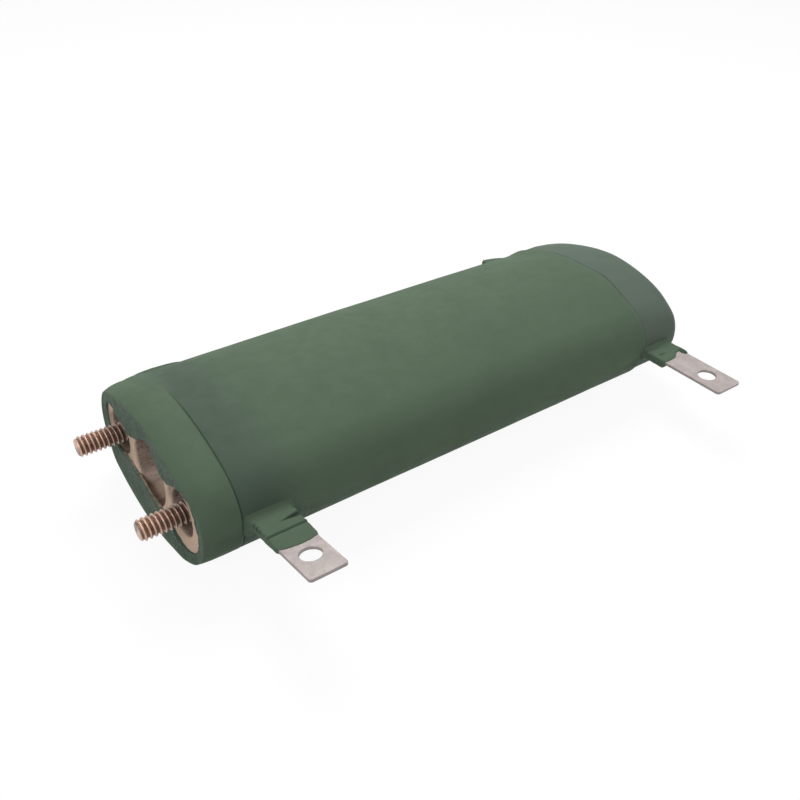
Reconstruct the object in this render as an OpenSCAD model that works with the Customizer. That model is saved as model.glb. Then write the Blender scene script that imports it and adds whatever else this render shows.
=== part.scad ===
// Flat-oval wirewound power resistor with two threaded studs at one end.
// X runs along the body with the studs towards -X. The terminal lugs point to -Y, and Z is up.
// The origin is on the face of the stud end, midway between the two studs.

/* [Body] */
// Length of the coated body, end to end
body_l = 142.2; // [120:0.1:220]
// Width of the coated body
body_w = 55; // [53:0.5:62]
// Height of the coated body
body_h = 29.7; // [28:0.1:33]
// Radius of the two rounded sides of the coated body
side_r = 11.4; // [10:0.1:12.5]

/* [Coating] */
// Thickness of the coating over the winding
coat_t = 0.7; // [0.6:0.05:1]
// Thickness of the coating on the end faces
end_t = 1.2; // [0.8:0.1:2]
// Radius of the rounded rim at the stud end
stud_rim_r = 2.6; // [2.2:0.1:3]
// Radius of the rounded rim at the plain end
plain_rim_r = 3.4; // [2.2:0.1:3.5]
// Length of the collar at the stud end
collar_l = 9.7; // [6:0.1:10.5]
// Height of the collar above the middle of the body
collar_rise = 0.3; // [0.1:0.05:0.5]
// Depth of the step beside the collar, below the middle of the body
groove_drop = 0.15; // [0.05:0.05:0.3]
// Length over which the step runs out into the body
groove_fade = 15; // [8:1:30]
// Depth of the lower zone at the plain end, below the middle of the body
zone_drop = 0.35; // [0.1:0.05:0.45]
// Width of the shoulder down to that zone
shoulder_l = 2; // [1:0.1:4]
// Depth of the flat on the underside, on which the body lies still
seat_drop = 0.25; // [0.2:0.05:0.45]
// Width of the window in the coated end face
window_w = 46.6; // [45:0.1:48]
// Height of the window in the coated end face
window_h = 17.6; // [17:0.1:19]
// Thickness of the coating on the lugs and ears
skin_t = 0.35; // [0.2:0.05:0.5]

/* [Core] */
// Distance between the two outer holes and between the studs
hole_pitch = 33.2; // [32.5:0.1:34]
// Diameter of the two outer holes
hole_d = 10.4; // [9:0.1:11]
// Diameter of the middle chamber
chamber_d = 16.4; // [12:0.1:17]

/* [Winding] */
// Diameter of the resistance wire
wire_d = 0.8; // [0.6:0.05:1]

/* [Terminal bands] */
// Width of the strap, and of its lug
strap_w = 8.5; // [7:0.1:9.5]
// Thickness of the strap
strap_t = 0.8; // [0.6:0.05:1]
// Distance of the stud-end band from that end of the body
stud_band_in = 15.4; // [15:0.1:30]
// Distance of the plain-end band from that end of the body
plain_band_in = 10.1; // [9.5:0.1:30]
// Length of a lug beyond the side of the body
lug_l = 23.8; // [22.5:0.1:32]
// Diameter of the hole in a lug
lug_hole_d = 4.6; // [3:0.1:5.2]
// Distance of that hole from the tip of the lug
lug_hole_in = 7; // [5:0.1:7.8]
// Size of the cut corners at the tip
lug_corner = 0.6; // [0.2:0.1:1.5]
// Upward bend of the stud-end lug
stud_end_bend = 9.8; // [0:0.1:20]
// Upward bend of the plain-end lug
plain_end_bend = 0; // [0:0.5:20]
// Length of the stud-end band's short strap end beyond the side of the body
stud_end_tab = 7.5; // [3:0.1:8]
// Length of the plain-end band's short strap end beyond the side of the body
plain_end_tab = 6.3; // [3:0.1:6.6]
// Length of the pinched ear beyond the far side of the body
ear_l = 9.5; // [4:0.1:14]
// Coated length of the stud-end lug beyond the side of the body
stud_end_coated = 12.8; // [8.5:0.1:13]
// Coated length of the plain-end lug beyond the side of the body
plain_end_coated = 7; // [7:0.1:12.5]

/* [Studs] */
// Outer diameter of the stud thread
stud_d = 4.83; // [4:0.01:6]
// Length of the far stud outside the body
far_stud_out = 9.05; // [5:0.05:25]
// Length of the near stud outside the body
near_stud_out = 8.2; // [5:0.05:25]
// Depth of the studs inside the core
stud_in = 46; // [45:1:100]
// Size of the chamfer on the stud ends
stud_chamfer = 0.6; // [0.3:0.1:1]
// Depth at which the cement round a stud begins
cement_in = 18; // [5:1:20]
// Length of the cement round a stud
cement_l = 26; // [10:1:28]
// Amount by which the plain shank in the cement is thinner than the thread
shank_drop = 0.7; // [0.3:0.1:1]

/* [Hidden] */
$fn = 96;

// Distance that a cut runs past the face it opens
past = 0.3;
// Flat facets along one side arc and one face arc of an oval, and along a rim
side_steps = 30;
face_steps = 21;
rim_steps = 5;
// Width of the slope on each side of the collar's step
step_w = 0.6;

left_x = 0;
right_x = body_l;
core_x0 = left_x + end_t;
core_x1 = right_x - end_t;
build_up = wire_d + coat_t;
core_w = body_w - 2 * build_up;
core_h = body_h - 2 * build_up;
core_r = side_r - build_up;
seat_z = -body_h / 2 + seat_drop;
window_r = window_h / 2 - (body_h / 2 - side_r) * window_h / body_h;

stud_band_x = left_x + stud_band_in;
plain_band_x = right_x - plain_band_in;
wound_x0 = stud_band_x + strap_w / 2;
wound_x1 = plain_band_x - strap_w / 2;
lug_root_y = -core_w / 2 - strap_t / 2;
// How far the middle of the strap lies inside the side of the body
root_in = build_up - strap_t / 2;
lug_reach = lug_l + root_in;
shank_d = stud_d - shank_drop;

green = [0.33, 0.42, 0.34];
ceramic = [0.80, 0.69, 0.61];
tinned = [0.78, 0.75, 0.73];
copper = [0.72, 0.48, 0.37];
wire = [0.55, 0.53, 0.50];
cement = [0.62, 0.50, 0.43];

// A four-arc oval has two side arcs of radius r and two flatter face arcs that run into them
function side_centre(w, r) = w / 2 - r;
function face_radius(w, h, r) = (pow(side_centre(w, r), 2) + h * h / 4 - r * r) / (h - 2 * r);
function face_centre(w, h, r) = face_radius(w, h, r) - h / 2;
function face_angle(w, h, r) = atan(side_centre(w, r) / face_centre(w, h, r));

// Points along one arc about its middle angle, without the last one, which starts the next arc
function arc_points(centre, radius, middle, half, steps) = [
    for (k = [0 : steps - 1])
        let (angle = middle - half + 2 * half * k / steps)
        centre + radius * [cos(angle), sin(angle)]
];

// Outline of an oval in the plane across the body, moved out by grow
function oval_points(w, h, r, grow = 0) =
    let (
        half = face_angle(w, h, r),
        side = [side_centre(w, r), 0],
        face = [0, -face_centre(w, h, r)],
        face_r = face_radius(w, h, r) + grow
    )
    concat(
        arc_points(side, r + grow, 0, 90 - half, side_steps),
        arc_points(face, face_r, 90, half, face_steps),
        arc_points(-side, r + grow, 180, 90 - half, side_steps),
        arc_points(-face, face_r, 270, half, face_steps)
    );
function core_outline(grow = 0) = oval_points(core_w, core_h, core_r, grow);

// Turns a shape drawn along Z so that it lies along X, with its own X towards Y
module lay_along_x() rotate([90, 0, 90]) children();

// Bar between two places along X with the outline drawn by its child
module bar(x0, x1)
    translate([x0, 0, 0])
        lay_along_x()
            linear_extrude(x1 - x0)
                children();

// Sleeve of even thickness on the core
module core_sleeve(thickness, x0, x1)
    bar(x0, x1)
        difference() {
            polygon(core_outline(thickness));
            polygon(core_outline());
        }

module x_cylinder(d, x0, x1, y)
    translate([0, y, 0])
        bar(x0, x1)
            circle(d = d);

// Rounded rim of the coating as [x, height above the core] pairs, from the end face outwards
function rim_profile(x, inward, top, radius) = [
    for (k = [0 : rim_steps])
        let (angle = 90 * k / rim_steps)
        [x + inward * radius * (1 - cos(angle)), top - radius * (1 - sin(angle))]
];
function reversed(list) = [for (k = [len(list) - 1 : -1 : 0]) list[k]];

// Outside of the coating along X: rim, collar, step, middle, shoulder, lower zone and rim
coating_profile = concat(
    rim_profile(left_x, 1, build_up + collar_rise, stud_rim_r),
    [
        [left_x + collar_l - step_w, build_up + collar_rise],
        [left_x + collar_l, build_up - groove_drop],
        [left_x + collar_l + groove_fade, build_up],
        [wound_x1 + step_w - shoulder_l, build_up],
        [wound_x1 + step_w, build_up - zone_drop]
    ],
    reversed(rim_profile(right_x, -1, build_up - zone_drop, plain_rim_r))
);

// Solid whose outline is the core's, grown at each place along X as the profile says
module grown_body(profile) {
    rings = len(profile);
    count = len(core_outline());
    points = [
        for (ring = profile)
            for (p = core_outline(ring.y))
                [ring.x, p.x, p.y]
    ];
    walls = [
        for (i = [0 : rings - 2])
            for (k = [0 : count - 1])
                let (next = (k + 1) % count)
                [i * count + k, (i + 1) * count + k, (i + 1) * count + next, i * count + next]
    ];
    left_cap = [for (k = [0 : count - 1]) k];
    right_cap = [for (k = [0 : count - 1]) rings * count - 1 - k];
    polyhedron(points, concat(walls, [left_cap, right_cap]));
}

module lug_plate()
    translate([0, 0, -strap_t])
        linear_extrude(strap_t)
            difference() {
                polygon([
                    [-strap_w / 2, 0],
                    [-strap_w / 2, lug_corner - lug_reach],
                    [lug_corner - strap_w / 2, -lug_reach],
                    [strap_w / 2 - lug_corner, -lug_reach],
                    [strap_w / 2, lug_corner - lug_reach],
                    [strap_w / 2, 0]
                ]);
                translate([0, lug_hole_in - lug_reach])
                    circle(d = lug_hole_d);
            }

// Short strap end, lying on the lug or under it
module tab_plate(tab_l, tab_z)
    translate([-strap_w / 2, -tab_l - root_in, tab_z])
        cube([strap_w, tab_l + root_in, strap_t]);

// Places the lug side of a band and gives it its bend
module at_lug(x, bend)
    translate([x, lug_root_y, 0])
        rotate([-bend, 0, 0])
            children();

// One strap round the core, with its lug, its short end and the pinched ear opposite
module terminal_band(x, bend, tab_l, tab_z) {
    core_sleeve(strap_t, x - strap_w / 2, x + strap_w / 2);
    at_lug(x, bend) {
        lug_plate();
        tab_plate(tab_l, tab_z);
    }
    translate([x - strap_w / 2, -lug_root_y, -strap_t])
        cube([strap_w, body_w / 2 + ear_l + lug_root_y, 2 * strap_t]);
}

// Coating that runs out from the body over the lug, the short end and the ear of a band
module band_coating(x, bend, tab_l, tab_z, coated) {
    coat_reach = coated + root_in;
    tab_reach = tab_l + root_in + skin_t;
    wide = strap_w + 2 * skin_t;
    low = min(-strap_t, tab_z) - skin_t;
    high = max(0, tab_z + strap_t) + skin_t;
    at_lug(x, bend) {
        translate([-wide / 2, -coat_reach, -strap_t - skin_t])
            cube([wide, coat_reach, strap_t + 2 * skin_t]);
        translate([-wide / 2, -tab_reach, low])
            cube([wide, tab_reach, high - low]);
    }
    translate([x - wide / 2, -lug_root_y, -strap_t - skin_t])
        cube([wide, body_w / 2 + ear_l + lug_root_y + skin_t, 2 * (strap_t + skin_t)]);
}

// Threaded as far as the cement, with a plain shank inside it
module stud(y, out) {
    tip = stud_d / 2 - stud_chamfer;
    thread_l = out + end_t + cement_in;
    length = out + end_t + stud_in;
    translate([left_x - out, y, 0])
        lay_along_x()
            rotate_extrude()
                polygon([
                    [0, 0],
                    [tip, 0],
                    [stud_d / 2, stud_chamfer],
                    [stud_d / 2, thread_l],
                    [shank_d / 2, thread_l],
                    [shank_d / 2, length],
                    [0, length]
                ]);
}

module stud_cement(y) {
    x0 = core_x0 + cement_in;
    difference() {
        x_cylinder(hole_d, x0, x0 + cement_l, y);
        x_cylinder(shank_d, x0 - past, x0 + cement_l + past, y);
    }
}

module ceramic_core()
    color(ceramic)
        difference() {
            bar(core_x0, core_x1)
                polygon(core_outline());
            for (y = [-hole_pitch / 2, hole_pitch / 2])
                x_cylinder(hole_d, left_x, right_x, y);
            x_cylinder(chamber_d, left_x, right_x, 0);
        }

module resistance_winding() color(wire) core_sleeve(wire_d, wound_x0, wound_x1);

module stud_end_band()
    color(tinned)
        terminal_band(stud_band_x, stud_end_bend, stud_end_tab, 0);

module plain_end_band()
    color(tinned)
        terminal_band(plain_band_x, plain_end_bend, plain_end_tab, -2 * strap_t);

module coating()
    color(green)
        difference() {
            union() {
                grown_body(coating_profile);
                band_coating(stud_band_x, stud_end_bend, stud_end_tab, 0, stud_end_coated);
                band_coating(
                    plain_band_x, plain_end_bend, plain_end_tab, -2 * strap_t, plain_end_coated
                );
            }
            bar(core_x0, core_x1)
                polygon(core_outline());
            bar(wound_x0, wound_x1)
                polygon(core_outline(wire_d));
            bar(left_x - past, right_x + past)
                polygon(oval_points(window_w, window_h, window_r));
            stud_end_band();
            plain_end_band();
            translate([left_x - past, -body_w / 2, seat_z - body_h])
                cube([body_l + 2 * past, body_w, body_h]);
        }

module far_stud() color(copper) stud(hole_pitch / 2, far_stud_out);

module near_stud() color(copper) stud(-hole_pitch / 2, near_stud_out);

module far_stud_cement() color(cement) stud_cement(hole_pitch / 2);

module near_stud_cement() color(cement) stud_cement(-hole_pitch / 2);

ceramic_core();
resistance_winding();
stud_end_band();
plain_end_band();
coating();
far_stud();
near_stud();
far_stud_cement();
near_stud_cement();
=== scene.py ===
"""Looks of a flat-oval wirewound power resistor, laid out as an add-on and run as a script."""

import math

import bpy
import numpy as np
from bpy.props import FloatProperty, FloatVectorProperty, PointerProperty
from mathutils import Matrix, Vector, geometry, noise


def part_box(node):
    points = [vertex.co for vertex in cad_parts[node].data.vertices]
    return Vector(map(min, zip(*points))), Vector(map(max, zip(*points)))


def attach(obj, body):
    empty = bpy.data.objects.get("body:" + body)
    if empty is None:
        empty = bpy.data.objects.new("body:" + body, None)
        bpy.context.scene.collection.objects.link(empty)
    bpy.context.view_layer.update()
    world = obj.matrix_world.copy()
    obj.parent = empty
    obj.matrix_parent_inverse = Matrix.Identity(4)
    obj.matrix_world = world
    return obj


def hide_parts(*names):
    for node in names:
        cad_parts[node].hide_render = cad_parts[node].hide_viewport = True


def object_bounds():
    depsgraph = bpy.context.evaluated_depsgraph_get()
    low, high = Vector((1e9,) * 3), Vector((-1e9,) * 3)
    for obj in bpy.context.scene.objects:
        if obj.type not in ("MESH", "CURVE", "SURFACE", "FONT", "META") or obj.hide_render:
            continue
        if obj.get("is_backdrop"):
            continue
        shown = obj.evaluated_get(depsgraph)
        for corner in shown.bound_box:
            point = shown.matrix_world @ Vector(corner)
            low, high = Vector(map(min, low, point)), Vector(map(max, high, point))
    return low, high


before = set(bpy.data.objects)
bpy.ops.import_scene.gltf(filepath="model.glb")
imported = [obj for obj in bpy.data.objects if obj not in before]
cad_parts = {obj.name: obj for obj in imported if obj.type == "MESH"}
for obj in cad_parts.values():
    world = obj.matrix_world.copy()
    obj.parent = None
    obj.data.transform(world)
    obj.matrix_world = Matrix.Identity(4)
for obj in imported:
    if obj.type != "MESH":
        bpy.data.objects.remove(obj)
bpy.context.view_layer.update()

bl_info = {
    "name": "Flat-oval wirewound resistor",
    "version": (1, 0, 0),
    "blender": (4, 5, 0),
    "location": "View3D > Sidebar > Resistor",
    "description": "Builds the visible pieces of a flat-oval wirewound resistor on its frame",
    "category": "Object",
}

BODY = "root"
MM = 0.001

# Detail of the meshes: rings along a stud, points round it, sides of the wire and, in
# millimetres, the distance of the points on the core's faces
THREAD_RINGS = 760
THREAD_AROUND = 57
WIRE_SIDES = 8
FACE_GRAIN = 0.85

# Depth of the nicks in the threads, in metres
NICK_DEPTH = 0.00016


def node_box(node):
    """Lowest and highest corner of a CAD node, in millimetres."""
    low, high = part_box(node)
    return np.array(low) / MM, np.array(high) / MM


CORE_LOW, CORE_HIGH = node_box("ceramic_core")
COAT_LOW, COAT_HIGH = node_box("coating")
FAR_STUD_LOW, FAR_STUD_HIGH = node_box("far_stud")
NEAR_STUD_LOW, NEAR_STUD_HIGH = node_box("near_stud")
CEMENT_LOW, CEMENT_HIGH = node_box("near_stud_cement")
WIRE_LOW, WIRE_HIGH = node_box("resistance_winding")
STUD_BAND_LOW, STUD_BAND_HIGH = node_box("stud_end_band")
PLAIN_BAND_LOW, PLAIN_BAND_HIGH = node_box("plain_end_band")


def length(name, description, default_mm):
    """A length property with its default given in millimetres."""
    return FloatProperty(
        name=name, description=description, default=default_mm * MM, unit="LENGTH", precision=5
    )


def colour(name, description, default):
    """A colour property with its default given as sRGB bytes."""
    linear = [c / 12.92 if c <= 0.04045 else ((c + 0.055) / 1.055) ** 2.4 for c in
              (value / 255 for value in default)]
    return FloatVectorProperty(
        name=name, description=description, default=linear, subtype="COLOR", size=3, min=0, max=1
    )


class ResistorSizes(bpy.types.PropertyGroup):
    core_side_r: length("Core side radius", "Radius of the rounded sides of the core", 9.9)
    build_up: length("Build-up", "Wire and coating over the core", 1.5)
    end_t: length("End coating", "Thickness of the coating on the end faces", 1.2)
    stud_rim_l: length("Stud-end rim", "Length of the rounded rim at the stud end", 5.5)
    plain_rim_r: length("Plain-end rim", "Radius of the rim at the plain end", 3.4)
    collar_l: length("Collar length", "Length of the collar at the stud end", 9.7)
    collar_rise: length("Collar rise", "Height of the collar above the body", 0.3)
    groove_drop: length("Groove drop", "Depth of the step beside the collar", 0.15)
    groove_fade: length("Groove fade", "Length over which that step runs out", 15)
    crease_depth: length("Crease depth", "Depth of the thin crease at the collar's foot", 0.14)
    zone_drop: length("Zone drop", "Depth of the lower zone at the plain end", 0.4)
    shoulder_x: length("Shoulder place", "Place of the shoulder down to that zone", 127.6)
    window_w: length("Window width", "Width of the window in an end face", 46.6)
    window_h: length("Window height", "Height of the window in an end face", 17.6)
    skin_t: length("Skin", "Thickness of the coating on lugs and ears", 0.35)
    hole_d: length("Hole diameter", "Diameter of the two outer holes", 10.4)
    chamber_d: length("Chamber diameter", "Diameter of the middle chamber", 16.4)
    wire_d: length("Wire diameter", "Diameter of the resistance wire", 0.8)
    wire_pitch: length("Wire pitch", "Distance from turn to turn of the wire", 1.7)
    strap_w: length("Strap width", "Width of the strap and its lug", 8.5)
    strap_t: length("Strap thickness", "Thickness of the strap", 0.8)
    lug_hole_d: length("Lug hole", "Diameter of the hole in a lug", 4.6)
    lug_hole_in: length("Lug hole place", "Distance of that hole from the tip", 7)
    lug_corner: length("Lug corner", "Radius of the corners at the tip", 0.75)
    thread_d: length("Thread diameter", "Outer diameter of the stud thread", 4.83)
    thread_pitch: length("Thread pitch", "Pitch of the stud thread", 25.4 / 24)
    shank_d: length("Shank diameter", "Diameter of the plain shank in the cement", 4.13)
    stud_end_bend: FloatProperty(
        name="Lug bend", description="Upward bend of the stud-end lug",
        default=math.radians(9.8), subtype="ANGLE"
    )


class ResistorFinishes(bpy.types.PropertyGroup):
    green: colour("Coating", "Colour of the matt coating", (100, 120, 98))
    haze: colour("Coating haze", "Greyer tone of the coating over the straps", (88, 104, 91))
    zone: colour("Plain-end zone", "Paler tone of the coating at the plain end", (106, 120, 108))
    # The crease colour paints shade into the coating's creases, the crack under the lug's flap and
    # the step line; it also darkens dents, a dash, a seam and a line along each ear.
    shade: colour("Coating creases", "Dark tone in the creases of the coating", (38, 50, 40))
    ceramic: colour("Ceramic", "Colour of the bare fired ceramic", (232, 202, 178))
    # The colour inside the holes is lighter than the face: painted light on the chamber floor and
    # the walls of the holes.
    bore: colour("Ceramic bores", "Colour of the ceramic inside the holes", (244, 218, 200))
    copper: colour("Stud plating", "Copper colour of the studs", (228, 187, 164))
    tarnish: colour("Stud tarnish", "Dark tone in the thread", (84, 66, 58))
    tinned: colour("Strap", "Colour of the tinned strap", (178, 168, 165))
    cement: colour("Cement", "Colour of the cement", (150, 122, 106))
    wire: colour("Wire", "Colour of the resistance wire", (140, 134, 126))


def sizes():
    """The sizes in millimetres, by name."""
    group = bpy.context.scene.resistor_sizes
    values = {}
    for key in ResistorSizes.__annotations__:
        value = getattr(group, key)
        values[key] = value if key == "stud_end_bend" else value / MM
    return values


def finishes():
    return bpy.context.scene.resistor_finishes


# Outlines and unevenness


def oval_ring(width, height, side_r, side_n=56, face_n=60):
    """Points and outward directions of a four-arc oval in the plane across the body."""
    centre = width / 2 - side_r
    face_r = (centre**2 + height**2 / 4 - side_r**2) / (height - 2 * side_r)
    face_c = face_r - height / 2
    half = math.atan2(centre, face_c)
    arcs = (
        ((centre, 0), side_r, 0, math.pi / 2 - half, side_n),
        ((0, -face_c), face_r, math.pi / 2, half, face_n),
        ((-centre, 0), side_r, math.pi, math.pi / 2 - half, side_n),
        ((0, face_c), face_r, 1.5 * math.pi, half, face_n),
    )
    points, outward = [], []
    for middle, radius, angle, reach, count in arcs:
        turn = angle - reach + 2 * reach * np.arange(count) / count
        way = np.stack([np.cos(turn), np.sin(turn)], 1)
        points.append(np.array(middle) + radius * way)
        outward.append(way)
    return np.vstack(points), np.vstack(outward)


def circle(count):
    """Points of a unit circle."""
    turn = np.linspace(0, 2 * math.pi, count, endpoint=False)
    return np.column_stack([np.cos(turn), np.sin(turn)])


def at(x, line):
    """Points in space of a line across the body, at a place along the body."""
    return np.column_stack([np.broadcast_to(x, len(line)), line])


def core_ring(side_n=56, face_n=60):
    """Points and outward directions of the core's outline."""
    width, height = (CORE_HIGH - CORE_LOW)[1:]
    return oval_ring(width, height, sizes()["core_side_r"], side_n, face_n)


def spread(*stretches):
    """Even places along one stretch after another, each given as first, last and count."""
    return np.concatenate([np.linspace(*stretch) for stretch in stretches])


def read_off(table, place):
    """Value of a table at a place, straight between its rows."""
    return np.interp(place, *np.array(table).T)


def smooth(x, low, high):
    """Smooth step from 0 at low to 1 at high."""
    t = np.clip((np.asarray(x, float) - low) / (high - low), 0, 1)
    return t * t * (3 - 2 * t)


def bell(x, middle, width):
    return np.exp(-(((np.asarray(x, float) - middle) / width) ** 2))


def uneven(points, grain, seed, octaves=2):
    """Smooth noise of about -1 to 1 at points in millimetres, with bumps about grain wide."""
    shift = Vector((seed * 17.31, seed * 5.17, seed * 9.73))
    flat = np.asarray(points, float).reshape(-1, 3)
    values = [
        noise.fractal(Vector(p) / grain + shift, 1.0, 2.0, octaves, noise_basis="PERLIN_ORIGINAL")
        for p in flat.tolist()
    ]
    return np.array(values).reshape(np.asarray(points).shape[:-1])


# Meshes


class Shell:
    """Closed mesh parts that are gathered into one object, with values for the materials."""

    def __init__(self):
        self.points, self.faces, self.values, self.count = [], [], {}, 0

    def add(self, points, faces, **values):
        points = np.asarray(points, float).reshape(-1, 3)
        if signed_volume(points, faces) < 0:
            faces = [tuple(reversed(face)) for face in faces]
        self.faces += [tuple(int(i) + self.count for i in face) for face in faces]
        for key in {**self.values, **values}:
            old = self.values.setdefault(key, [np.zeros(self.count)] if self.count else [])
            new = values.get(key)
            old.append(np.zeros(len(points)) if new is None else np.asarray(new, float).reshape(-1))
        self.points.append(points)
        self.count += len(points)

    def build(self, name, material, crisp=False):
        mesh = bpy.data.meshes.new(name)
        mesh.from_pydata((np.vstack(self.points) * MM).tolist(), [], self.faces)
        if mesh.validate():
            raise RuntimeError(f"{name}: the mesh has faulty faces")
        for key, parts in self.values.items():
            attribute = mesh.attributes.new(key, "FLOAT", "POINT")
            attribute.data.foreach_set("value", np.concatenate(parts).astype(np.float32))
        mesh.shade_smooth()
        if crisp:
            mesh.set_sharp_from_angle(angle=math.radians(30))
        mesh.materials.append(material)
        return link(name, mesh)


def signed_volume(points, faces):
    by_size = {}
    for face in faces:
        by_size.setdefault(len(face), []).append(face)
    total = 0.0
    for size, group in by_size.items():
        corners = points[np.array(group)]
        for k in range(1, size - 1):
            across = np.cross(corners[:, k], corners[:, k + 1])
            total += np.einsum("ij,ij->", corners[:, 0], across)
    return total / 6


def link(name, mesh):
    piece = bpy.data.objects.new(name, mesh)
    bpy.context.scene.collection.objects.link(piece)
    return piece


def tube_faces(rings, around, loop=False):
    """Quads between rings of equal count; loop joins the last ring to the first."""
    faces = []
    for i in range(rings if loop else rings - 1):
        a, b = i * around, (i + 1) % rings * around
        for k in range(around):
            n = (k + 1) % around
            faces.append((a + k, b + k, b + n, a + n))
    return faces


def capped_tube(rings):
    """Points and faces of a tube whose two end rings are closed by fans."""
    rings = np.asarray(rings, float)
    count, around = rings.shape[:2]
    faces = tube_faces(count, around)
    first, last = count * around, count * around + 1
    base = (count - 1) * around
    for k in range(around):
        n = (k + 1) % around
        faces.append((first, k, n))
        faces.append((last, base + n, base + k))
    points = np.vstack([rings.reshape(-1, 3), rings[0].mean(0), rings[-1].mean(0)])
    return points, faces


def filled_loops(outer, holes, inside=()):
    """Points and triangles of a flat face between an outer loop and its holes."""
    coords, edges, owner = [], [], []
    for index, loop in enumerate([outer, *holes]):
        start, count = len(coords), len(loop)
        coords += [Vector(p) for p in np.asarray(loop).tolist()]
        edges += [(start + k, start + (k + 1) % count) for k in range(count)]
        owner += [index] * count
    coords += [Vector(p) for p in np.asarray(inside).tolist()]
    owner += [0] * len(inside)
    done = geometry.delaunay_2d_cdt(coords, edges, [], 1, 1e-7)
    origin = [source[0] for source in done[3]]
    faces = [tuple(origin[i] for i in face) for face in done[2]]
    faces = [face for face in faces if len({owner[i] for i in face}) > 1 or owner[face[0]] == 0]
    return np.array([list(c) for c in coords]), faces


def ride(piece, slot, *nodes):
    """Fixes a finished piece to the body, in place of its CAD nodes."""
    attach(piece, BODY)
    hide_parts(*nodes)


# Materials


class Nodes:
    """A node tree under construction, with short ways to add to it."""

    def __init__(self, tree):
        self.tree = tree

    def node(self, kind, inputs=(), **settings):
        """Adds a node with its settings, and feeds its inputs from outputs or plain values."""
        node = self.tree.nodes.new(kind)
        for key, value in settings.items():
            setattr(node, key, value)
        for key, value in dict(inputs).items():
            self.feed(value, node.inputs[key])
        return node

    def feed(self, value, socket):
        """Links an output or a field to a socket, or sets the socket to a plain value."""
        value = value.output if isinstance(value, Field) else value
        if isinstance(value, bpy.types.NodeSocket):
            self.tree.links.new(value, socket)
        else:
            socket.default_value = value

    def math(self, kind, *values):
        return self.node("ShaderNodeMath", enumerate(values), operation=kind).outputs[0]


class Finish(Nodes):
    """A material under construction. Lengths are in millimetres and colours are linear."""

    def __init__(self, name, slot_colour):
        self.material = bpy.data.materials.new(name)
        self.material.use_nodes = True
        self.material.diffuse_color = (*slot_colour, 1)
        super().__init__(self.material.node_tree)
        self.place = self.node("ShaderNodeTexCoord").outputs["Object"]

    def surface(self, **values):
        """Feeds the named inputs of the surface shader."""
        shader = self.tree.nodes["Principled BSDF"]
        for key, value in values.items():
            self.feed(value, shader.inputs[key.replace("_", " ")])

    def stretched(self, scale):
        node = self.node("ShaderNodeMapping", {"Scale": scale, "Vector": self.place})
        return node.outputs["Vector"]

    def along(self):
        """Place along the body, in metres."""
        return self.node("ShaderNodeSeparateXYZ", {0: self.place}).outputs["X"]

    def noise(self, grain, detail=3, rough=0.55, place=None):
        node = self.node("ShaderNodeTexNoise", {
            "Scale": 1 / (grain * MM), "Detail": detail, "Roughness": rough,
            "Vector": place or self.place,
        })
        return node.outputs["Fac"]

    def specks(self, grain, inner, outer, rarity):
        """Scattered round specks, 1 inside and 0 outside."""
        node = self.node("ShaderNodeTexVoronoi", {"Scale": 1 / (grain * MM), "Vector": self.place})
        parts = self.node("ShaderNodeSeparateColor", {"Color": node.outputs["Color"]})
        spot = self.span(node.outputs["Distance"], inner, outer, 1, 0)
        return self.math("MULTIPLY", spot, self.math("GREATER_THAN", parts.outputs["Red"], rarity))

    def span(self, value, low, high, to_low=0.0, to_high=1.0):
        """Smooth step from one range to another."""
        node = self.node("ShaderNodeMapRange", {
            "Value": value, "From Min": low, "From Max": high, "To Min": to_low, "To Max": to_high,
        }, interpolation_type="SMOOTHSTEP")
        return node.outputs["Result"]

    def held(self, name):
        """A value stored on the mesh."""
        return self.node("ShaderNodeAttribute", attribute_name=name).outputs["Fac"]

    def mix(self, factor, a, b, share=1.0):
        """Colour a, with b over it by the factor times share."""
        if share != 1.0:
            factor = self.math("MULTIPLY", factor, share)
        a, b = (c if isinstance(c, bpy.types.NodeSocket) else (*c, 1) for c in (a, b))
        return self.node("ShaderNodeMix", {0: factor, 6: a, 7: b}, data_type="RGBA").outputs[2]

    def bump(self, height, depth, strength=1.0, **under):
        node = self.node("ShaderNodeBump", {
            "Strength": strength, "Distance": depth * MM, "Height": height, **under,
        })
        return node.outputs["Normal"]


def times(tone, factor):
    return tuple(min(1.0, c * factor) for c in tone)


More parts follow.
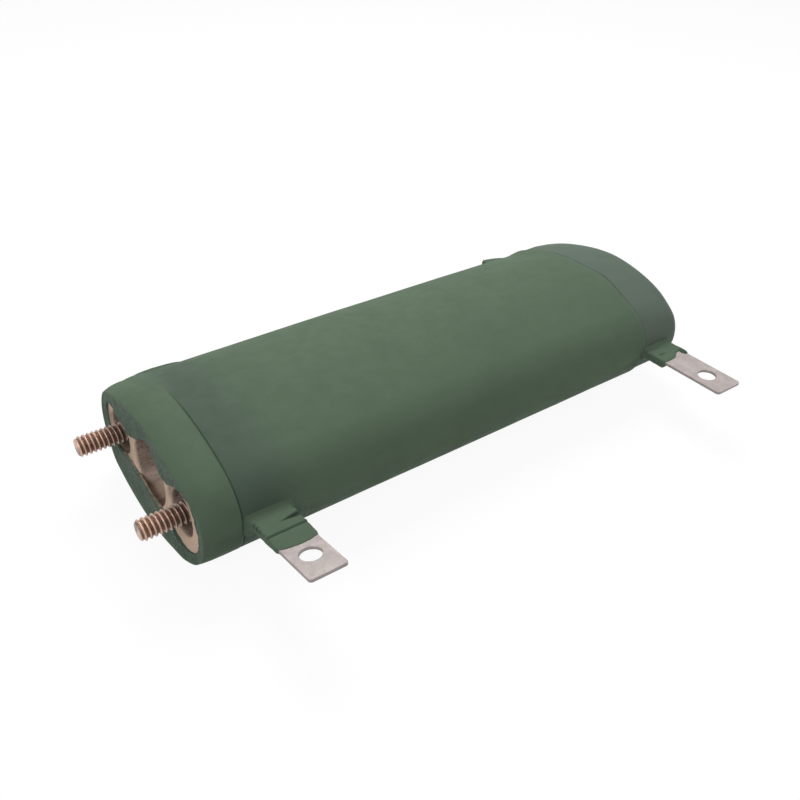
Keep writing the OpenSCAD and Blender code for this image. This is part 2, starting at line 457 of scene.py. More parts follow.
def green_coating():
    tone = finishes()
    f = Finish("matt_green_coating", tone.green)
    broad = f.span(f.noise(22, 2), 0.35, 0.65)
    fine = f.span(f.noise(1.6, 4), 0.3, 0.7)
    body = f.mix(broad, times(tone.green, 0.97), times(tone.green, 1.03))
    body = f.mix(fine, body, times(tone.green, 0.86), 0.25)
    body = f.mix(f.held("haze"), body, tone.haze, 0.85)
    body = f.mix(f.held("zone"), body, tone.zone, 0.9)
    blotch = f.span(f.noise(0.8, 4, 0.7), 0.4, 0.66)
    wall = f.mix(blotch, times(tone.haze, 0.82), times(tone.haze, 1.3))
    body = f.mix(f.held("wall"), body, wall)
    # Painted highlight along the rim ridge at the stud end: the last end-wall ring and the first
    # rim ring are lightened to a pale haze tone.
    body = f.mix(f.held("worn"), body, times(tone.haze, 1.35), 0.5)
    crumbs = f.span(f.noise(1.7, 3, 0.6), 0.36, 0.6, 0.15, 0.75)
    body = f.mix(f.math("MULTIPLY", crumbs, f.held("chip")), body, times(tone.ceramic, 0.9))
    # Painted shade from the crease values: the collar's crease, the shoulder line, and the lug's
    # crack and step line.
    body = f.mix(f.held("crease"), body, tone.shade)
    body = f.mix(f.specks(7, 0.018, 0.034, 0.8), body, times(tone.green, 0.45), 0.55)
    body = f.mix(f.specks(9.3, 0.014, 0.028, 0.84), body, times(tone.green, 1.7), 0.5)
    grain = f.bump(f.noise(0.35, 3), 0.02, 0.35)
    f.surface(
        Base_Color=body, Roughness=f.span(f.noise(3.1, 3), 0.3, 0.7, 0.66, 0.78), IOR=1.45,
        Specular_IOR_Level=0.2, Normal=f.bump(f.noise(2.4, 2), 0.05, 0.3, Normal=grain),
    )
    return f.material


def bare_ceramic():
    tone = finishes()
    f = Finish("bare_fired_ceramic", tone.ceramic)
    grain = f.span(f.noise(0.5, 5, 0.7), 0.32, 0.68)
    face = f.mix(grain, times(tone.ceramic, 0.86), times(tone.ceramic, 1.06))
    streak = f.noise(1.2, 4, 0.6, f.stretched((0.12, 1, 1)))
    inner = f.mix(f.span(streak, 0.35, 0.65), times(tone.bore, 0.78), times(tone.bore, 1.12))
    rust = f.span(f.noise(0.4, 5, 0.75), 0.46, 0.68)
    # Inside the holes the ceramic takes the lighter streaked tone, as painted light.
    body = f.mix(f.held("bore"), face, inner)
    # Soot with fine black specks, together with painted shade: the walls of the two holes, the
    # chamber's wall above its floor and parts of the face beside the holes are darkened.
    body = f.mix(f.held("soot"), body, times(tone.bore, 0.3), 0.6)
    body = f.mix(f.math("MULTIPLY", rust, f.held("soot")), body, times(tone.bore, 0.16))
    pits = f.bump(f.noise(0.3, 4, 0.7), 0.05, 0.6)
    f.surface(Base_Color=body, Roughness=0.85, IOR=1.5,
              Normal=f.bump(f.noise(1.4, 3), 0.1, 0.4, Normal=pits))
    return f.material


def coppered_steel():
    tone = finishes()
    f = Finish("coppered_thread", tone.copper)
    patch = f.span(f.noise(1.3, 4, 0.6), 0.34, 0.66)
    body = f.mix(patch, times(tone.copper, 0.78), tone.copper)
    body = f.mix(f.span(f.held("groove"), 0.15, 0.75), body, tone.tarnish, 0.78)
    # The thread darkens in the tarnish tone from 5 mm in front of the stud end's face to 1 mm
    # inside it.
    by_the_body = f.span(f.along(), -5 * MM, 1 * MM)
    body = f.mix(by_the_body, body, tone.tarnish, 0.6)
    worn = f.span(f.noise(0.4, 3), 0.56, 0.7)
    body = f.mix(worn, body, times(tone.copper, 1.2), 0.35)
    f.surface(
        Base_Color=body, Metallic=0.5, Roughness=f.span(f.noise(0.6, 4), 0.3, 0.7, 0.26, 0.4),
        Normal=f.bump(f.noise(0.25, 3), 0.02, 0.4),
    )
    return f.material


def tinned_strap():
    tone = finishes()
    f = Finish("dull_tinned_strap", tone.tinned)
    cloud = f.span(f.noise(2.6, 4, 0.6), 0.34, 0.68)
    body = f.mix(cloud, times(tone.tinned, 0.88), times(tone.tinned, 1.04))
    stain = f.span(f.noise(1.1, 4, 0.7), 0.56, 0.72)
    body = f.mix(stain, body, times(tone.tinned, 0.72), 0.3)
    # Painted shade on the lug plate's edges, strongest on the lower edges and the underside.
    body = f.mix(f.held("edge"), body, times(tone.tinned, 0.7))
    rolled = f.noise(0.3, 3, 0.6, f.stretched((1, 0.05, 1)))
    f.surface(Base_Color=body, Metallic=0.55, Roughness=f.span(rolled, 0.3, 0.7, 0.48, 0.62),
              Normal=f.bump(rolled, 0.01, 0.4))
    return f.material


def rough_cement():
    tone = finishes()
    f = Finish("rough_cement", tone.cement)
    grain = f.span(f.noise(0.7, 5, 0.7), 0.3, 0.7)
    body = f.mix(grain, times(tone.cement, 0.7), times(tone.cement, 1.15))
    f.surface(Base_Color=body, Roughness=0.9, Normal=f.bump(f.noise(0.5, 4), 0.12, 0.8))
    return f.material


def drawn_wire():
    tone = finishes()
    f = Finish("drawn_resistance_wire", tone.wire)
    scale = f.span(f.noise(2.0, 3), 0.35, 0.65)
    f.surface(Base_Color=f.mix(scale, times(tone.wire, 0.7), tone.wire), Metallic=1.0,
              Roughness=f.span(f.noise(0.5, 3), 0.3, 0.7, 0.35, 0.5))
    return f.material


# Coating


# How far each end face leans along the body per length of height
LEAN_STUD_END = 0.045
LEAN_PLAIN_END = 0.025

# Bevel of the core's edge under the rounded rim of the plain end: how far in, and how long
CORE_BEVEL = 1.4
CORE_BEVEL_L = 3.0

# How far the far side of the coating stands out from its even height, by place along the body
FAR_SIDE = (
    (0.0, -0.3), (5.0, -0.4), (8.5, 0.0), (60.0, 0.0), (85.0, -0.12), (115.0, -0.33),
    (119.5, -0.55), (123.0, -0.5), (126.0, -0.08), (127.0, 0.0), (133.0, 0.1), (137.0, -0.3),
    (139.0, -0.7), (142.2, -0.95),
)

# How far the edge of the window lies outside (or inside) its plain oval, by place round the oval:
# 0 to 1 is the far side, 1 to 2 the top, 2 to 3 the near side and 3 to 4 the bottom.
LIP = (
    (0.0, -1.6), (0.1, -1.6), (0.25, 0.0), (0.5, 0.3), (0.75, 0.9), (0.9, 0.3), (1.0, -1.4),
    (1.06, -2.9), (1.12, -3.6), (1.18, -4.2), (1.25, -4.7), (1.31, -4.3), (1.38, -2.9),
    (1.445, -1.6), (1.5, -0.6), (1.56, -0.1), (1.6, -0.6), (1.635, -2.4), (1.7, -3.4),
    (1.755, -4.6), (1.81, -4.3), (1.87, -3.2), (1.94, -1.0), (2.0, -0.1), (2.07, 0.1),
    (2.19, 0.3), (2.32, 0.2), (2.44, 0.5), (2.55, 1.0), (2.67, 1.4), (2.81, 1.9), (2.97, 1.9),
    (3.09, 1.8), (3.17, 0.2), (3.26, -1.4), (3.39, -2.6), (3.5, -2.3), (3.6, -3.2), (3.73, -3.3),
    (3.85, -3.4), (3.94, -2.4), (4.0, -1.6),
)


# Weights that soften the corners of that edge
LIP_BLUR = np.array([1, 2, 3, 2, 1]) / 9

# Height of the ridge round the stud end over the core, by place round the oval
RIDGE = (
    (0.0, 0.35), (2.2, 0.35), (2.33, 0.9), (2.45, 1.3), (2.6, 1.4), (2.75, 1.4), (2.9, 1.3),
    (3.05, 0.9), (3.2, 0.35), (4.0, 0.35),
)


def end_of(plain):
    """Lean, place and inward direction of the coating's plain end or stud end."""
    return (LEAN_PLAIN_END, COAT_HIGH[0], -1) if plain else (LEAN_STUD_END, 0.0, 1)


def round_place(count_side=56, count_face=60):
    """Place of each ring point round the oval, from 0 to 4, an arc at a time."""
    parts = [k + np.arange(n) / n for k, n in enumerate((count_side, count_face) * 2)]
    return np.concatenate(parts)


def far_side(x, ring):
    """Departure of the far upper side and the near upper corner from the even height."""
    y, z = ring.T
    end = float(smooth(x, 133, 139))
    share = smooth(y, 5 - 9 * end, 18 - 4 * end) * smooth(z, -2, 6)
    corner = bell(y, -22, 2.5) * smooth(z, 3, 7) * smooth(x, 135, 140)
    return read_off(FAR_SIDE, x) * share - 0.35 * corner


def coat_height(x, s, shift=0.0, soft=0.0):
    """Height of the coating's outside over the core along the body."""
    step = smooth(x, s["collar_l"] - 0.65 - soft, s["collar_l"] + 0.05 + soft)
    out = 1 - smooth(x, s["collar_l"], s["collar_l"] + s["groove_fade"])
    zone = smooth(x, s["shoulder_x"] + shift - 0.85, s["shoulder_x"] + shift + 0.75)
    return (s["build_up"] + s["collar_rise"] * (1 - step)
            - s["groove_drop"] * step * out - s["zone_drop"] * zone)


def set_back(line, plain):
    """How far an end face lies further in than its middle, by place on the face."""
    y, z = line.T
    if plain:
        return 0.5 * bell(y, -21, 4) * smooth(z, 3, 7)
    return 0.85 * smooth(-y, 17, 27) + 0.5 * smooth(y, 19, 26)


def shoulder_shift(ring):
    """How far the shoulder bows towards the plain end, by place across the body."""
    return bell(ring[:, 0], -9, 5)


def coat_level(x, s, ring):
    """The coating's height round the body: the collar's step is softer low down."""
    under = smooth(-ring[:, 1], 2, 8) * (1 - smooth(x, 40, 60))
    even = s["build_up"] + 0.15 * (1 - smooth(x, 4, 24))
    soft = 2.5 * smooth(ring[:, 0], 2, 14)
    return coat_height(x, s, shoulder_shift(ring), soft) * (1 - under) + even * under


def rim_foot(s, ring, plain):
    """Height over the core at which the end wall meets the rim."""
    if plain:
        return coat_height(COAT_HIGH[0], s) - s["plain_rim_r"] + far_side(COAT_HIGH[0], ring)
    return read_off(RIDGE, round_place())


def end_wall(s, ring, way, plain):
    """Rings of one coated end, from the ceramic out to the start of the rim."""
    lean, face, inward = end_of(plain)
    edge = ring + way * rim_foot(s, ring, plain)[:, None]
    body_h = CORE_HIGH[2] - CORE_LOW[2] + 2 * s["build_up"]
    body_r = s["core_side_r"] + s["build_up"]
    window_r = s["window_h"] / 2 - (body_h / 2 - body_r) * s["window_h"] / body_h
    window, window_way = oval_ring(s["window_w"], s["window_h"], window_r)
    place = round_place()
    grow = read_off(LIP, (6 - place) % 4 if plain else place)
    grow = np.convolve(np.concatenate([grow[-2:], grow, grow[:2]]), LIP_BLUR, "valid")
    if plain:
        grow = np.minimum(0.45 * grow, 0.6)
    spot = at(7.0 * plain, window)
    grow = grow + 0.28 * uneven(spot, 1.3, 3 + plain, 3)
    lip = np.clip(0.62 + 0.35 * uneven(spot, 3.5, 5 + plain), 0.25, 1.0)
    window = window + window_way * grow[:, None]
    if not plain:
        lip = lip * (1 - 0.45 * smooth(-window[:, 0], 12, 22)) + 0.25 * bell(place, 1.3, 0.35)
    rings, walls = [], []
    steps = [(1.0, 1.06), (1.0, 0.98)]
    steps += [(t, None) for t in (*(0.98 - 0.05 * np.arange(1, 5)), *np.linspace(0.72, 0.0, 12))]
    for t, fixed in steps:
        line = edge + (window - edge) * t
        if fixed:
            depth = s["end_t"] * fixed
        else:
            slope = (s["end_t"] - lip) * smooth(t, 0.12, 1.02)
            round_off = 0.35 * lip * smooth(t, 0.86, 1.0) ** 2
            sunk = 0.32 * smooth(t, 0.0, 0.16) * (1 - smooth(t, 0.5, 1.0))
            spot = at(3.0 * plain, line)
            rough = 0.1 * uneven(spot, 1.9, 11) + 0.06 * uneven(spot, 0.7, 12)
            depth = slope + round_off + sunk + smooth(t, 0.02, 0.2) * rough
            depth = depth + set_back(line, plain) * (1 - 0.7 * t)
            if t > 0.9:
                depth = np.minimum(depth, s["end_t"] - 0.08)
        rings.append(at(face + inward * depth + lean * line[:, 1], line))
        walls.append(np.full(len(ring), float(smooth(t, 0.03, 0.22))))
    return rings, walls


def rim_rings(s, ring, way, plain, count=13):
    """Rings round the rounded rim, from the end wall to the outside of the body."""
    lean, face, inward = end_of(plain)
    rim_l = s["plain_rim_r"] if plain else s["stud_rim_l"]
    low = rim_foot(s, ring, plain)
    rings = []
    for share in np.linspace(0, 1, count)[1:]:
        if plain:
            run, rise = 1 - math.cos(share * math.pi / 2), math.sin(share * math.pi / 2)
        else:
            run = share**1.5
            rise = 1 - (1 - run) ** 2.4
        x = face + inward * rim_l * run
        top = coat_level(face, s, ring) + far_side(x, ring)
        line = ring + way * (low + (top - low) * rise)[:, None]
        x = x + inward * set_back(line, plain) * (1 - share) + lean * line[:, 1]
        rings.append(at(x, line))
    return rings


def coat_outside(s, ring, way, strength):
    """Rings between the two rims, with the crease, slow waves and a few drips."""
    collar, shoulder = s["collar_l"], s["shoulder_x"]
    first, last = s["stud_rim_l"], COAT_HIGH[0] - s["plain_rim_r"]
    stops = (first, collar - 1.0, collar + 0.7, collar + 16, shoulder - 9, shoulder - 1.6,
             shoulder + 1.6, last)
    counts = (9, 21, 34, 40, 13, 25, 20)
    along = [np.linspace(a, b, n, endpoint=False) for a, b, n in zip(stops, stops[1:], counts)]
    rings = []
    for x in np.concatenate(along)[1:]:
        crease = s["crease_depth"] * strength * bell(x, collar, 0.17)
        height = coat_level(x, s, ring) - crease + far_side(x, ring)
        lean = (LEAN_STUD_END * (1 - smooth(x, first, collar - 0.5))
                + LEAN_PLAIN_END * smooth(x, shoulder + 3, last))
        line = ring + way * height[:, None]
        rings.append(at(x + lean * line[:, 1], line))
    rings = np.array(rings)
    wave = 0.07 * uneven(rings, 24, 21) + 0.025 * uneven(rings, 6, 22)
    x, y, z = np.moveaxis(rings, -1, 0)
    drips = bell(x, 24, 2.3) * bell(z, -4.5, 2.2) * smooth(-y, 22, 25)
    wave = wave + 0.12 * drips * np.cos(2 * math.pi * x / 1.35)
    rings[..., 1:] += way[None] * wave[..., None]
    return rings


def coat_inside(s, ring, way, stud_window, plain_window):
    """Rings of the hidden inside, from the plain end back to the stud end."""
    low, high = s["end_t"], COAT_HIGH[0] - s["end_t"]
    first, last, wire = WIRE_LOW[0], WIRE_HIGH[0], s["wire_d"]
    bevelled = ring - way * CORE_BEVEL
    rings = [
        at(high + 0.02 + LEAN_PLAIN_END * line[:, 1], line)
        for line in (bevelled * 0.35 + plain_window * 0.65, bevelled * 0.98, bevelled)
    ]
    for x, grow in ((high - CORE_BEVEL_L, 0), (last, 0), (last, wire),
                    (first, wire), (first, 0), (low + 3, 0)):
        rings.append(at(x, ring + way * (grow + 0.01)))
    rings += [
        at(low - 0.02 + LEAN_STUD_END * line[:, 1], line)
        for line in (ring, ring * 0.98, ring * 0.35 + stud_window * 0.65)
    ]
    return rings


def coat_body(shell):
    """The coated shell: end walls, rims, collar, crease, body, shoulder and inside."""
    s = sizes()
    ring, way = core_ring()
    stud_wall, stud_values = end_wall(s, ring, way, False)
    plain_wall, plain_values = end_wall(s, ring, way, True)
    strength = 0.04 + 0.96 * smooth(-ring[:, 0], -8, 6)
    outside = [*rim_rings(s, ring, way, False), *coat_outside(s, ring, way, strength),
               *rim_rings(s, ring, way, True)[::-1]]
    inside = coat_inside(s, ring, way, stud_wall[0][:, 1:], plain_wall[0][:, 1:])
    points = np.array([*stud_wall, *outside, *plain_wall[::-1], *inside])
    points[..., 2] = np.maximum(points[..., 2], COAT_LOW[2])
    first, last = len(stud_wall), len(stud_wall) + len(outside)
    outer = np.zeros((len(points), 1))
    outer[first:last] = 1
    wall, worn, chip = np.zeros((3, len(points), len(ring)))
    wall[:first], wall[last:last + len(plain_wall)] = stud_values, plain_values[::-1]
    # Painted highlight on the stud end's rim ridge.
    worn[first - 1], worn[first] = 1.0, 0.5
    place = round_place()
    chip[:2] = smooth(place, 3.2, 3.3) * (1 - smooth(place, 3.9, 4.0))
    x, collar = points[..., 0], s["collar_l"]
    soft = 4 * smooth(ring[:, 0], 0, 12)[None]
    haze = smooth(x, collar - 0.4 - soft, collar + 0.6 + soft)
    haze = haze * (1 - smooth(x, collar + 4, collar + 17))
    haze = np.clip(haze + 0.15 * uneven(points, 9, 31) * smooth(haze, 0.02, 0.3), 0, 1)
    edge = s["shoulder_x"] + shoulder_shift(ring)[None]
    zone = smooth(x, edge - 0.6, edge + 0.8)
    upper = 0.25 + 0.3 * smooth(ring[:, 0], -24, -10)
    # Painted shade in the crease at the collar's foot and along the shoulder line, stronger away
    # from the near side.
    crease = (0.5 * bell(x, collar + 0.02, 0.2) * strength[None]
              + upper[None] * bell(x, edge + 0.35, 0.45))
    shell.add(points, tube_faces(len(points), len(ring), True), wall=wall, haze=haze * outer,
              crease=crease * outer, zone=zone * outer, worn=worn, chip=chip)


def sleeve_section(half, low, high, corner, top_n=26, low_n=12, side_n=4, corner_n=6):
    """Closed outline of a rounded strip, first along its top, as (across, up) pairs."""
    corner = min(corner, 0.49 * (high - low))
    points = []
    points += [(u, high) for u in np.linspace(half - corner, corner - half, top_n)]
    left, right = corner - half, half - corner
    under, over = low + corner, high - corner

    def bend(middle, start):
        turns = [math.radians(start + 90 * k / (corner_n + 1)) for k in range(1, corner_n + 1)]
        return [(middle[0] + corner * math.cos(a), middle[1] + corner * math.sin(a)) for a in turns]

    points += bend((left, over), 90)
    points += np.linspace((-half, over), (-half, under), side_n).tolist()
    points += bend((left, under), 180)
    points += np.linspace((left, low), (right, low), low_n).tolist()
    points += bend((right, under), 270)
    points += np.linspace((half, under), (half, over), side_n).tolist()
    points += bend((right, over), 0)
    return np.array(points)


def fillet(v, root, radius):
    """Height of a round fillet that ends radius beyond root."""
    gap = np.clip(root + radius - v, 0, radius)
    return radius - math.sqrt(radius**2 - gap**2)


class Strip:
    """Local frame of a lug or an ear: across the strap, out from the body, and up."""

    def __init__(self, x, root_y, bend, outward=-1):
        self.x, self.root_y, self.outward = x, root_y, outward
        self.c, self.s = math.cos(bend), math.sin(bend)

    def world(self, local):
        u, v, w = np.moveaxis(np.asarray(local, float), -1, 0)
        y = self.root_y + self.outward * (v * self.c - w * self.s)
        return np.stack([self.x + u, y, v * self.s + w * self.c], -1)


def strip_coat(shell, strip, stations, reach, change, seed):
    """Coating on a lug or an ear. Stations are (out, half width, low, high, corner) rows."""
    local = np.array([
        [(u, v, w) for u, w in sleeve_section(half, low, high, corner)]
        for v, half, low, high, corner in stations
    ])
    u, v, w = np.moveaxis(local, -1, 0).copy()
    start, end = reach["from"], reach["end"]
    out = np.clip((v - start) / (end - start), 0, None)
    local[..., 1] = np.where(v > start, start + out * (reach["edge"](u) - start), v)
    crease, lift = change(u, v, w)
    local[..., 2] += lift
    place = strip.world(local)
    rough = 0.05 * uneven(place, 2.6, seed) + 0.025 * uneven(place, 0.8, seed + 1)
    free = smooth(v, 0.8, 2.5) * (1 - smooth(v, end - 0.4, end - 0.05))
    local[..., 2] += np.sign(w - w.mean()) * rough * free
    local[..., 0] += np.sign(u) * 1.3 * rough * free * (np.abs(u) > 4.2)
    caps = np.zeros(2)
    shell.add(*capped_tube(strip.world(local)), crease=np.append(crease, caps),
              haze=np.append(np.full(crease.size, 0.25), caps))


def strap_places():
    """Middle of each strap along the body, and the height of the lugs' root."""
    s = sizes()
    root_y = CORE_LOW[1] - s["strap_t"] / 2
    stud_x = (STUD_BAND_LOW[0] + STUD_BAND_HIGH[0]) / 2
    plain_x = (PLAIN_BAND_LOW[0] + PLAIN_BAND_HIGH[0]) / 2
    return stud_x, plain_x, root_y


def stud_end_lug_coat(shell):
    """Coating on the bent lug, with its cracked flap and the step at the strap's short end."""
    s = sizes()
    stud_x, _, root_y = strap_places()
    skin, t, half = s["skin_t"], s["strap_t"], s["strap_w"] / 2 + s["skin_t"]
    tab_end, coat_end = 8.95, 13.9
    rows = []
    for v in spread((-2.0, 0.8, 4), (1.1, 4.6, 14), (4.75, 6.75, 17), (6.9, 8.55, 7),
                    (8.66, 9.5, 13), (9.7, 13.0, 12), (13.15, 13.86, 8)):
        over = fillet(v, 1.24, 1.1)
        step = 0.45 * smooth(v, tab_end - 0.16, tab_end + 0.1) + 0.55 * smooth(v, 9.2, 12.8)
        high = t + skin + over - t * step - 0.12 * bell(v, tab_end + 0.16, 0.13)
        low = -t - skin - fillet(v, 1.0, 1.8)
        thin = 0.2 * smooth(v, 13.0, coat_end)
        side = half + fillet(v, 1.1, 1.5) - thin
        rows.append((v, side, low + thin, high - thin, 0.42 + over))
    rows.append((coat_end + 0.05, s["strap_w"] / 2 - 0.03, -t + 0.05, -0.05, 0.1))

    def change(u, v, w):
        on_top = smooth(w, 0.1, 0.5)
        crack = 6.1 - 0.08 * u
        wide = 0.06 + 0.19 * np.clip(u, 0, 6)
        cut = np.clip(1 - np.abs(v - crack) / wide, 0, 1) * smooth(u, -0.4, 0.6) * on_top
        flap = 0.3 * smooth(u, 0, 4.5) * smooth(v, 3.0, 4.6) * (1 - smooth(v, crack - 0.25, crack))
        foot = 0.2 * smooth(u, 0.5, 4.5) * smooth(v, crack, crack + 0.5) * (1 - smooth(v, 8.4, 8.9))
        lift = on_top * (flap - foot) - cut * (0.25 + 0.07 * np.clip(u, 0, 5))
        lift = np.maximum(lift, -0.3)
        # Painted shade in the crack under the flap and at the foot of the step at the strap's short
        # end; the dents are darkened too.
        line = bell(v, tab_end + 0.17, 0.12) * on_top
        crease = np.clip(0.8 * line + 0.95 * np.clip(cut * 1.6, 0, 1), 0, 1)
        dents = bell(u, -4.7, 0.5) * (bell(v, 3.4, 0.35) + bell(v, 4.8, 0.4) + bell(v, 6.0, 0.25))
        return np.clip(crease + 0.8 * dents * on_top, 0, 1), lift - 0.3 * dents * on_top

    reach = {"from": 9.6, "end": coat_end, "edge": lambda u: 14.0 - 0.045 * (u - 0.7) ** 2}
    strip_coat(shell, Strip(stud_x, root_y, s["stud_end_bend"]), rows, reach, change, 41)


def plain_end_lug_coat(shell):
    """Coating on the straight lug, with its narrow finger, a dash and a seam."""
    s = sizes()
    _, plain_x, root_y = strap_places()
    skin, t, half = s["skin_t"], s["strap_t"], s["strap_w"] / 2 + s["skin_t"]
    tab_end, coat_end = 7.75, 8.1
    rows = []
    for v in spread((-2.0, 0.8, 4), (1.1, 4.6, 16), (4.8, 7.2, 12), (7.3, 8.05, 12)):
        step = t * smooth(v, tab_end - 0.25, tab_end + 0.1)
        low = -2 * t - skin - fillet(v, 1.0, 1.2) + step
        thin = 0.2 * smooth(v, 7.3, coat_end)
        side = half + fillet(v, 1.1, 0.4) - thin
        rows.append((v, side, low + thin, skin + fillet(v, 1.1, 0.6) - thin, 0.42))
    rows.append((coat_end + 0.05, s["strap_w"] / 2 - 0.03, -t + 0.05, -0.05, 0.1))

    def change(u, v, w):
        on_top = smooth(w, -0.3, 0.2)
        ridge = 0.28 * bell(u, 3.9, 0.6) * smooth(v, 3.5, 5.5)
        dash = bell(v, 5.35 + 0.15 * u, 0.2) * smooth(u, -3.4, -2.7) * (1 - smooth(u, -1.4, -0.9))
        seam = bell(v, 2.6 + 0.2 * u, 0.3) * (1 - smooth(u, -1.5, 0.5)) * 0.5
        lift = on_top * (ridge - 0.22 * dash - 0.18 * seam)
        return np.clip(on_top * (0.8 * dash + 0.5 * seam), 0, 1), lift

    def edge(u):
        return 8.05 - 1.7 * smooth(u, -0.8, 2.6) + 1.9 * smooth(u, 3.5, 4.2)

    reach = {"from": 4.7, "end": coat_end, "edge": edge}
    strip_coat(shell, Strip(plain_x, root_y, 0.0), rows, reach, change, 45)


# How far each ear reaches out from the body, by place across the ear
STUD_END_EAR = (
    (-7.2, 8.7), (-6.5, 9.0), (-5.5, 9.5), (-4.3, 9.95), (-3.2, 10.15), (-2.1, 10.25), (-0.5, 10.3),
    (1.0, 10.28), (2.1, 10.23), (3.1, 10.14), (4.1, 10.0), (5.1, 9.78), (6.1, 9.5), (7.2, 9.0),
)
PLAIN_END_EAR = (
    (-5.75, 10.44), (-4.75, 10.44), (-4.05, 10.28), (-2.7, 9.86), (-1.45, 9.4), (-0.3, 8.8),
    (0.75, 8.15), (1.5, 7.87), (3.3, 7.87), (5.75, 7.7),
)

# How far the coat of each ear lies from the middle of its strap, along the body
EAR_SHIFTS = (1.8, -1.15)


def ear_coats(shell):
    """Coating on the pinched ears at the far side, each with its own uneven tip."""
    s = sizes()
    end = COAT_HIGH[1] - CORE_HIGH[1] - s["strap_t"] / 2
    stud_x, plain_x, root_y = strap_places()
    places = spread((-2.0, 0.8, 4), (1.1, 4.6, 14), (5.0, end - 0.9, 10),
                    (end - 0.8, end - 0.05, 9))

    def change(u, v, w):
        groove = bell(w, 0, 0.35) * smooth(v, 5, 7)
        return 0.4 * groove, 0 * u

    for x, half, table, seed in (
        (stud_x + EAR_SHIFTS[0], 7.2, STUD_END_EAR, 51),
        (plain_x + EAR_SHIFTS[1], 5.75, PLAIN_END_EAR, 55),
    ):
        rows = []
        for v in places:
            gap = max(0.0, (v - (end - 0.8)) / 0.8)
            thin = 0.75 * (1 - math.sqrt(max(0.0, 1 - gap**2)))
            side = half + fillet(v, 1.1, 1.8) - thin
            up = s["strap_t"] + s["skin_t"] + fillet(v, 1.0, 2.2) - thin
            rows.append((v, side, -up, up, 0.6 + 1.2 * fillet(v, 1.0, 2.2)))
        reach = {"from": 6.0, "end": end, "edge": lambda u, table=table: read_off(table, u)}
        strip_coat(shell, Strip(x, -root_y, 0.0, 1), rows, reach, change, seed)


# Metal and ceramic


def plate_with_hole(shell, strip, half, tip, hole_v, hole_r, thick, corner, bevel):
    """Drilled strap end with rounded corners and broken edges."""
    root = -1.0
    outline = [(-half, root)]
    for u, start in ((corner - half, 180), (half - corner, 90)):
        for angle in np.radians(start - 90 * np.arange(9) / 8):
            outline.append((u + corner * math.cos(angle), tip - corner + corner * math.sin(angle)))
    outline = np.array([*outline, (half, root)])
    inset = outline * ((half - bevel) / half, 1)
    inset[:, 1] -= bevel * np.clip((outline[:, 1] - (tip - corner)) / corner, 0, 1)
    hole_c, turn = np.array([0, hole_v]), circle(56)
    across = np.linspace(0.6 - half, half - 0.6, 9)
    grid = [(u, v) for v in np.arange(0.5, tip - 0.6, 0.9) for u in across
            if math.hypot(u, v - hole_v) > hole_r + 0.5]
    flat, faces = filled_loops(inset, [hole_c + (hole_r + bevel) * turn], grid)
    hole = hole_c + hole_r * turn
    loops = Loops()

    def put(line, w, worn):
        sag = 0.05 * uneven(np.column_stack([line, np.zeros(len(line))]), 5, 61)
        return loops.put(np.column_stack([line, w + sag]), worn)

    # The loop values darken the strap as painted shade: 0.3 on the top edge, 0.5 round the top of
    # the hole, 0.9 on the lower edges and 0.2 on the underside.
    top = put(flat, 0.0, 0.0)
    out_top, in_top = put(outline, -bevel, 0.3), put(hole, -bevel, 0.5)
    out_low, in_low = put(outline, bevel - thick, 0.9), put(hole, bevel - thick, 0.9)
    low = put(flat, -thick, 0.2)
    count = len(outline)
    for start in (top, low):
        loops.fill(start, faces)
    for a, b in ((top, out_top), (out_top, out_low), (out_low, low)):
        loops.band(a, b, count)
    for a, b in ((top + count, in_top), (in_top, in_low), (in_low, low + count)):
        loops.band(a, b, len(hole))
    loops.close(shell, ("edge",), strip.world)


class Loops:
    """Loops of points that are joined into one closed mesh."""

    def __init__(self):
        self.points, self.values, self.faces, self.count = [], [], [], 0

    def put(self, points, *values):
        """Adds points with their values, and gives the index of the first."""
        self.points.append(points)
        self.values.append([np.broadcast_to(value, len(points)) for value in values])
        self.count += len(points)
        return self.count - len(points)

    def fill(self, start, faces):
        self.faces += [tuple(start + i for i in face) for face in faces]

    def band(self, a, b, n):
        """Quads between two loops of n points that start at a and b."""
        self.faces += [(a + k, a + (k + 1) % n, b + (k + 1) % n, b + k) for k in range(n)]

    def close(self, shell, names, place=lambda points: points):
        values = [np.concatenate(value) for value in zip(*self.values)]
        shell.add(place(np.vstack(self.points)), consistent(self.faces), **dict(zip(names, values)))


def consistent(faces):
    """Turns faces so that each shared edge runs opposite ways in its two faces."""
    by_edge = {}
    for index, face in enumerate(faces):
        for k in range(len(face)):
            a, b = face[k], face[(k + 1) % len(face)]
            by_edge.setdefault((min(a, b), max(a, b)), []).append((index, a < b))
    turned, seen = {}, set()
    for start in range(len(faces)):
        if start in seen:
            continue
        turned[start] = False
        seen.add(start)
        queue = [start]
        while queue:
            index = queue.pop()
            face = faces[index]
            for k in range(len(face)):
                a, b = face[k], face[(k + 1) % len(face)]
                mine = (a < b) != turned[index]
                for other, way in by_edge[(min(a, b), max(a, b))]:
                    if other not in seen:
                        turned[other] = way == mine
                        seen.add(other)
                        queue.append(other)
    return [tuple(reversed(f)) if turned[k] else f for k, f in enumerate(faces)]


